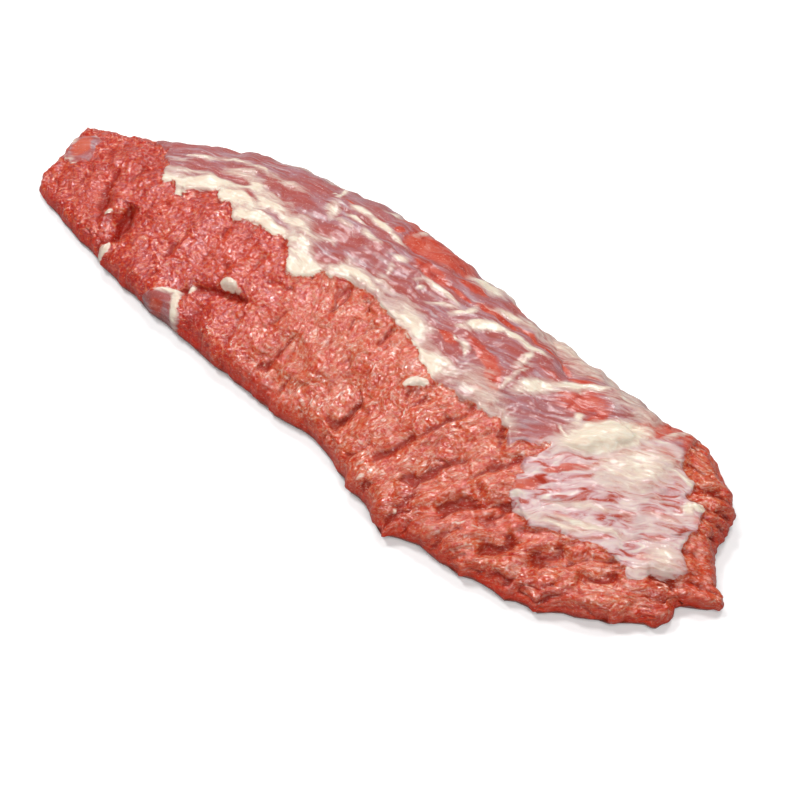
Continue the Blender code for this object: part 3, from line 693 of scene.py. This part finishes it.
def body(name):
    """The meat as one closed mesh with its fields as attributes, and the middle of it in plan."""
    top, base, field = meat(even_shares(ROWS_ALONG, True), even_shares(ROWS_ACROSS, False))
    points, faces = shell(top, base)
    middle = (points[:, :2].min(axis=0) + points[:, :2].max(axis=0)) / 2
    points[:, :2] -= middle
    mesh = bpy.data.meshes.new(name)
    mesh.from_pydata((points * MM).tolist(), [], faces)
    for kind, value in field.items():
        wide = value.ndim == 3
        flat = value.reshape(-1, 3) if wide else value.ravel()
        under = np.zeros((len(points) - len(flat), *flat.shape[1:]))
        if wide:
            under[:] = points[len(flat):]
        attribute = mesh.attributes.new(kind, "FLOAT_VECTOR" if wide else "FLOAT", "POINT")
        values = np.concatenate([flat, under]).ravel()
        attribute.data.foreach_set("vector" if wide else "value", values)
    mesh.shade_smooth()
    piece = bpy.data.objects.new(name, mesh)
    bpy.context.scene.collection.objects.link(piece)
    return piece, middle


# The material


def linear(code, alpha=1.0):
    """A colour from its sRGB hex code, as the linear RGBA that a socket takes."""
    parts = [int(code[k : k + 2], 16) / 255 for k in (1, 3, 5)]
    return (*(c / 12.92 if c <= 0.04045 else ((c + 0.055) / 1.055) ** 2.4 for c in parts), alpha)


def add(tree, kind, inputs=(), ramp=(), **settings):
    """Adds a node, and gives each named input a value or a link from another node's output."""
    node = tree.nodes.new("ShaderNode" + kind)
    for name, value in settings.items():
        setattr(node, name, value)
    for name, value in dict(inputs).items():
        if isinstance(value, bpy.types.NodeSocket):
            tree.links.new(value, node.inputs[name])
        else:
            node.inputs[name].default_value = value
    if ramp:
        stops = node.color_ramp.elements
        for stop, (place, code) in ((stops[0], ramp[0]), (stops[1], ramp[-1])):
            stop.position = place
            stop.color = linear(code)
        for place, code in ramp[1:-1]:
            stops.new(place).color = linear(code)
    return node


def raw_beef():
    """Raw beef fresh from the knife: lean muscle, silverskin, thin web and solid fat in one finish.

    The surface is wet, so a thin clear coat lies over it, strongest on the lean meat, where it
    breaks up into small glints on the grain. Lean meat is pebbled at the left end and fibrous at
    the right. Its colour holds painted light as well: painted shade in crevices, along thin cracks,
    in the hollows at the near edge and on the foot, and painted highlights on the pale ridges and
    in the flecks, which are partly marbling. Pattern sizes are in millimetres: pebbles 1.7, fibres
    1.8 by 3.4, cracks 4.5 by 11, silverskin streaks 2.4 by 16, slits in the web 4 by 11, flecks
    0.9. Real fibres are finer than 1 mm, and are drawn this coarse so that they show. A little
    light passes under the surface, deepest in red.
    """
    material = bpy.data.materials.new("raw beef, wet")
    material.use_nodes = True
    tree = material.node_tree
    tree.nodes.clear()
    read = {}
    for name in ("cover", "fat", "bare", "web", "sinew", "tone_and_shade", "hollow", "wall"):
        read[name] = add(tree, "Attribute", attribute_name=name).outputs["Fac"]
    for name in ("grain", "streak"):
        read[name] = add(tree, "Attribute", attribute_name=name).outputs["Vector"]
    along = add(tree, "SeparateXYZ", {0: read["streak"]}).outputs[0]

    # Patterns: name, the places it is drawn over, its size on them, detail, roughness, distortion
    for name, place, size, detail, roughness, distortion in (
        ("pebbles", "streak", (1.7, 1.7, 1.7), 2.0, 0.5, 0.4),
        ("fibres", "grain", (1.8, 3.4, 2.5), 2.5, 0.55, 0.6),
        ("beads", "streak", (1.8, 1.5, 1.8), 0.7, 0.5, 0.3),
        ("crack_noise", "grain", (4.5, 11.0, 4.5), 3.0, 0.55, 1.0),
        ("threads", "streak", (16.0, 2.4, 2.4), 3.0, 0.55, 0.3),
        ("slits", "grain", (4.2, 11.0, 4.2), 3.0, 0.5, 0.9),
        ("scraps", "streak", (6.0, 2.2, 2.2), 5.0, 0.62, 0.8),
        ("cloud", "streak", (22.0, 12.0, 12.0), 3.0, 0.55, 0.3),
        ("mottle", "streak", (7.0, 6.0, 6.0), 3.0, 0.55, 0.5),
        ("grit", "streak", (0.9, 0.9, 0.9), 2.0, 0.5, 0.0),
    ):
        scaled = add(tree, "VectorMath", {0: read[place], 1: [1 / s for s in size]},
                     operation="MULTIPLY")
        read[name] = add(tree, "TexNoise", {
            "Vector": scaled.outputs[0], "Scale": 1.0, "Detail": detail, "Roughness": roughness,
            "Distortion": distortion}).outputs["Fac"]

    # Lean meat: paler in its mottling and where it is fibrous, and darker in the valleys and pale
    # pink on the ridges of the grain's bump, which is painted shade and painted wet highlight
    fibrous = add(tree, "MapRange", {"Value": along, "From Min": -70.0, "From Max": 0.0,
                                     "To Max": 0.5}, interpolation_type="SMOOTHSTEP").outputs[0]
    speckle = add(tree, "Mix", {0: fibrous, 2: read["pebbles"], 3: read["fibres"]}).outputs[0]
    mottle_and_ridge_light = add(tree, "Math", {0: read["mottle"], 1: 0.28, 2: speckle},
                  operation="MULTIPLY_ADD").outputs[0]
    pale = add(tree, "Math", {0: fibrous, 1: 0.26, 2: mottle_and_ridge_light}, operation="MULTIPLY_ADD").outputs[0]
    lean = add(tree, "ValToRGB", {0: pale}, ramp=(
        (0.52, "#940A02"), (0.60, "#AC1E04"), (0.68, "#B8340C"), (0.76, "#BC4E2A"),
        (0.84, "#C27050"), (0.94, "#CEA090"))).outputs[0]

    # On it: thin dark lines where a noise is close to its mean, painted shade along cracks that the
    # bump also cuts there; orange tones, and crimson ones that are the meat's deeper red and painted
    # shade in the hollows at the near edge; a foot that is redder and drier towards the table, the
    # meat's deeper red and painted shade on the near wall, which faces away from the lamps; and
    # painted shade in crevices
    # Painted shade: thin dark lines along the cracks that the bump cuts
    apart = add(tree, "Math", {0: read["crack_noise"], 1: 0.5}, operation="SUBTRACT").outputs[0]
    apart = add(tree, "Math", {0: apart}, operation="ABSOLUTE").outputs[0]
    shaded_crack = add(tree, "MapRange", {"Value": apart, "From Max": 0.04, "To Min": 0.6,
                                  "To Max": 0.0}).outputs[0]
    # Painted shade: darker where the surface lies below its surroundings
    crevice_shade = add(tree, "MapRange", {"Value": read["hollow"], "From Min": 0.32, "From Max": 0.9,
                                     "To Max": 0.8}).outputs[0]
    orange = add(tree, "Math", {0: read["tone_and_shade"], 1: 0.65},
                 operation="MULTIPLY", use_clamp=True).outputs[0]
    # Partly painted shade: dark crimson where the tone is negative, in the hollows at the near edge
    crimson_and_hollow_shade = add(tree, "Math", {0: read["tone_and_shade"], 1: -0.5},
               operation="MULTIPLY", use_clamp=True).outputs[0]
    # Partly painted shade: redder towards the table, where the near wall faces away from the lamps
    shaded_foot = add(tree, "Math", {0: read["wall"], 1: 0.8}, operation="MULTIPLY").outputs[0]
    lean = add(tree, "Mix", {0: orange, 6: lean, 7: linear("#BC3812")}, data_type="RGBA").outputs[2]
    lean = add(tree, "Mix", {0: shaded_crack, 6: lean, 7: linear("#9C1404")}, data_type="RGBA").outputs[2]
    lean = add(tree, "Mix", {0: crimson_and_hollow_shade, 6: lean, 7: linear("#960E04")}, data_type="RGBA").outputs[2]
    lean = add(tree, "Mix", {0: shaded_foot, 6: lean, 7: linear("#C82408")}, data_type="RGBA").outputs[2]
    lean = add(tree, "Mix", {0: crevice_shade, 6: lean, 7: linear("#7C0E04")},
               data_type="RGBA").outputs[2]

    # Silverskin: a mauve film with pale threads, over muscle that shows through it in clouds
    film = add(tree, "ValToRGB", {0: read["threads"]}, ramp=(
        (0.30, "#904A44"), (0.45, "#9A5C5C"), (0.58, "#A0767C"), (0.72, "#AE9496"),
        (0.86, "#C2B4B0"))).outputs[0]
    through = add(tree, "MapRange", {"Value": read["cloud"], "From Min": 0.44, "From Max": 0.62,
                                     "To Max": 0.7}).outputs[0]
    skin = add(tree, "Mix", {0: through, 6: film, 7: linear("#9E463E")},
               data_type="RGBA").outputs[2]

    # Web: whitish film with fat in it, slit along the fibres so that red muscle shows
    netted = add(tree, "ValToRGB", {0: read["slits"]}, ramp=(
        (0.28, "#9A2A18"), (0.38, "#AC5A50"), (0.46, "#BC8E90"), (0.57, "#CAB0AE"),
        (0.73, "#D6C8BA"))).outputs[0]
    skin = add(tree, "Mix", {0: read["web"], 6: skin, 7: netted}, data_type="RGBA").outputs[2]

    # Bare muscle under the cover, then a thin veil of fat over it, and solid fat in its middle
    naked = add(tree, "ValToRGB", {0: read["mottle"]}, ramp=(
        (0.30, "#982410"), (0.46, "#B43C24"), (0.60, "#BE5440"), (0.78, "#C87A6C"))).outputs[0]
    naked = add(tree, "Mix", {0: orange, 6: naked, 7: linear("#C06048")},
                data_type="RGBA").outputs[2]
    torn = add(tree, "Math", {0: read["scraps"], 1: 0.7, 2: read["bare"]},
               operation="MULTIPLY_ADD").outputs[0]
    open_share = add(tree, "MapRange", {"Value": torn, "From Min": 0.74, "From Max": 1.1,
                                        "To Max": 0.85}, interpolation_type="SMOOTHSTEP").outputs[0]
    skin = add(tree, "Mix", {0: open_share, 6: skin, 7: naked}, data_type="RGBA").outputs[2]
    cream = add(tree, "ValToRGB", {0: read["scraps"]}, ramp=(
        (0.30, "#D2BAA6"), (0.50, "#D8CAB6"), (0.70, "#E0D8C8"))).outputs[0]
    streaky = add(tree, "Mix", {0: 0.5, 2: read["scraps"], 3: read["threads"]}).outputs[0]
    laid = add(tree, "Math", {0: streaky, 1: 1.7, 2: read["fat"]},
               operation="MULTIPLY_ADD").outputs[0]
    veil_share = add(tree, "MapRange", {"Value": laid, "From Min": 0.93, "From Max": 1.45,
                                        "To Max": 0.7}, interpolation_type="SMOOTHSTEP").outputs[0]
    fat_share = add(tree, "MapRange", {"Value": laid, "From Min": 1.33, "From Max": 1.78,
                                       "To Max": 0.95}, interpolation_type="SMOOTHSTEP").outputs[0]
    skin = add(tree, "Mix", {0: veil_share, 6: skin, 7: linear("#C6AEA2")},
               data_type="RGBA").outputs[2]
    skin = add(tree, "Mix", {0: fat_share, 6: skin, 7: cream}, data_type="RGBA").outputs[2]

    # The cover over the lean meat, with a ragged edge, and sinews and fat lumps over both
    ragged = add(tree, "Math", {0: read["scraps"], 1: 3.0, 2: read["cover"]},
                 operation="MULTIPLY_ADD").outputs[0]
    cover_share = add(tree, "MapRange", {"Value": ragged, "From Min": 1.1, "From Max": 1.9},
                      interpolation_type="SMOOTHSTEP").outputs[0]
    colour = add(tree, "Mix", {0: cover_share, 6: lean, 7: skin}, data_type="RGBA").outputs[2]
    spun = add(tree, "Math", {0: read["scraps"], 1: 0.6, 2: read["sinew"]},
               operation="MULTIPLY_ADD").outputs[0]
    sinew_share = add(tree, "MapRange", {"Value": spun, "From Min": 0.74, "From Max": 1.15,
                                         "To Max": 0.9}, interpolation_type="SMOOTHSTEP").outputs[0]
    colour = add(tree, "Mix", {0: sinew_share, 6: colour, 7: cream}, data_type="RGBA").outputs[2]

    # Pale flecks, under a millimetre, over all of it: partly marbling and partly painted glints
    fleck_and_glint = add(tree, "MapRange", {"Value": read["grit"], "From Min": 0.61, "From Max": 0.75,
                                   "To Max": 0.45}).outputs[0]
    colour = add(tree, "Mix", {0: fleck_and_glint, 6: colour, 7: linear("#E0BEB0")},
                 data_type="RGBA").outputs[2]

    # Grain: grit and fibres under the wet film, and round beads in the film that glint
    fine = add(tree, "Math", {0: read["grit"], 1: 0.3, 2: speckle},
               operation="MULTIPLY_ADD").outputs[0]
    split = add(tree, "Math", {0: shaded_crack, 1: -0.4, 2: fine}, operation="MULTIPLY_ADD").outputs[0]
    beads = add(tree, "Math", {0: shaded_crack, 1: -0.2, 2: read["beads"]},
                operation="MULTIPLY_ADD").outputs[0]
    smooth = add(tree, "Math", {0: read["threads"], 1: 0.3}, operation="MULTIPLY").outputs[0]
    under = add(tree, "Mix", {0: cover_share, 2: split, 3: smooth}).outputs[0]
    over = add(tree, "Mix", {0: cover_share, 2: beads, 3: smooth}).outputs[0]
    under = add(tree, "Bump", {"Height": under, "Strength": 1.0, "Distance": 0.38 * MM}).outputs[0]
    over = add(tree, "Bump", {"Height": over, "Strength": 1.0, "Distance": 1.0 * MM}).outputs[0]
    roughness = add(tree, "MapRange", {"Value": cover_share, "To Min": 0.42,
                                       "To Max": 0.48}).outputs[0]

    # Wet film: thin on the cover, and thinner still in crevices and at the foot, so that their
    # painted shade stays dark
    dry = add(tree, "Math", {0: cover_share, 1: 0.75}, operation="MULTIPLY").outputs[0]
    dry = add(tree, "Math", {0: dry, 1: crevice_shade}, operation="MAXIMUM").outputs[0]
    dry = add(tree, "Math", {0: dry, 1: shaded_foot}, operation="MAXIMUM").outputs[0]
    wet = add(tree, "MapRange", {"Value": dry, "To Min": 1.0, "To Max": 0.0}).outputs[0]
    finish = add(tree, "BsdfPrincipled", {
        "Base Color": colour, "Roughness": roughness, "IOR": 1.4, "Specular IOR Level": 0.12,
        "Subsurface Weight": 0.12, "Subsurface Radius": (1.0, 0.25, 0.12),
        "Subsurface Scale": 1.5 * MM, "Coat Weight": wet, "Coat Roughness": 0.08, "Coat IOR": 1.7,
        "Normal": under, "Coat Normal": over})
    output = add(tree, "OutputMaterial")
    tree.links.new(finish.outputs[0], output.inputs[0])
    return material


meat_piece, middle = body("raw_flap_meat")
meat_piece.data.materials.append(raw_beef())
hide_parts("flap_meat")
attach(meat_piece, "root")

# The studio: a white floor, a white sky, one large soft lamp, and three smaller ones for the glints

FLOOR_SIZE = 1.5  # no wider than the lamps light evenly
FLOOR_GAP = 0.0002
FLOOR_SEEN = 0.96
FLOOR_BOUNCE = 0.40  # share of light the floor gives back to the meat, below what the camera sees
SKY_SEEN = 1.0
SKY = 0.17  # light that the sky gives to the meat, below what the camera sees
CAMERA_ANGLES = (47, 50)  # azimuth and elevation in degrees
CAMERA_DISTANCE = 0.90
CAMERA_LENS = 85
CAMERA_TARGET = (35.8, -6.9)  # in plan, in the drawing's frame
# Lamps: the way to each from the meat, distance, side in metres, watts.
LAMPS = (
    ((0.65, -0.45, 1.0), 1.6, 1.0, 15.5), ((-0.6, 0.35, 0.85), 1.5, 0.35, 6.5),
    ((-0.45, -0.15, 0.87), 1.5, 0.35, 9.5), ((-0.1, 0.5, 0.9), 1.5, 0.35, 7.0),
)


def lighter_to_camera(tree, socket, value, seen_value):
    """Gives a socket one value for the light on the meat and another for what the camera sees."""
    seen = add(tree, "LightPath").outputs["Is Camera Ray"]
    shade = add(tree, "MapRange", {"Value": seen, "To Min": value, "To Max": seen_value})
    tree.links.new(shade.outputs[0], socket)


def studio(middle):
    """White floor and sky, the lamps, and the camera at the photograph's angle."""
    bpy.ops.mesh.primitive_plane_add(size=FLOOR_SIZE, location=(0, 0, -FLOOR_GAP))
    floor = bpy.context.object
    floor.name = "floor"
    # Matt white paper, which gives a soft shadow and no gloss
    paper = bpy.data.materials.new("white seamless paper")
    paper.use_nodes = True
    finish = paper.node_tree.nodes["Principled BSDF"]
    finish.inputs["Roughness"].default_value = 0.9
    lighter_to_camera(paper.node_tree, finish.inputs["Base Color"], FLOOR_BOUNCE, FLOOR_SEEN)
    floor.data.materials.append(paper)
    scene = bpy.context.scene
    scene.world = bpy.data.worlds.new("white sky")
    scene.world.use_nodes = True
    sky = scene.world.node_tree.nodes["Background"]
    sky.inputs["Color"].default_value = linear("#FFFFFF")
    lighter_to_camera(scene.world.node_tree, sky.inputs["Strength"], SKY, SKY_SEEN)
    for number, (way, distance, side_length, watts) in enumerate(LAMPS):
        data = bpy.data.lights.new(f"softbox {number}", "AREA")
        data.size = side_length
        data.energy = watts
        lamp = bpy.data.objects.new(data.name, data)
        lamp.location = Vector(way).normalized() * distance
        lamp.rotation_euler = Vector(way).to_track_quat("Z", "Y").to_euler()
        scene.collection.objects.link(lamp)
    azimuth, elevation = (radians(angle) for angle in CAMERA_ANGLES)
    back = Vector((sin(azimuth) * cos(elevation), -cos(azimuth) * cos(elevation), sin(elevation)))
    data = bpy.data.cameras.new("camera")
    data.lens = CAMERA_LENS
    data.clip_start = 0.01
    camera = bpy.data.objects.new("camera", data)
    target = [(place - shift) * MM for place, shift in zip(CAMERA_TARGET, middle)]
    camera.location = Vector((*target, 0)) + CAMERA_DISTANCE * back
    camera.rotation_euler = back.to_track_quat("Z", "Y").to_euler()
    scene.collection.objects.link(camera)
    scene.camera = camera
    scene.view_settings.view_transform = "Standard"


studio(middle)
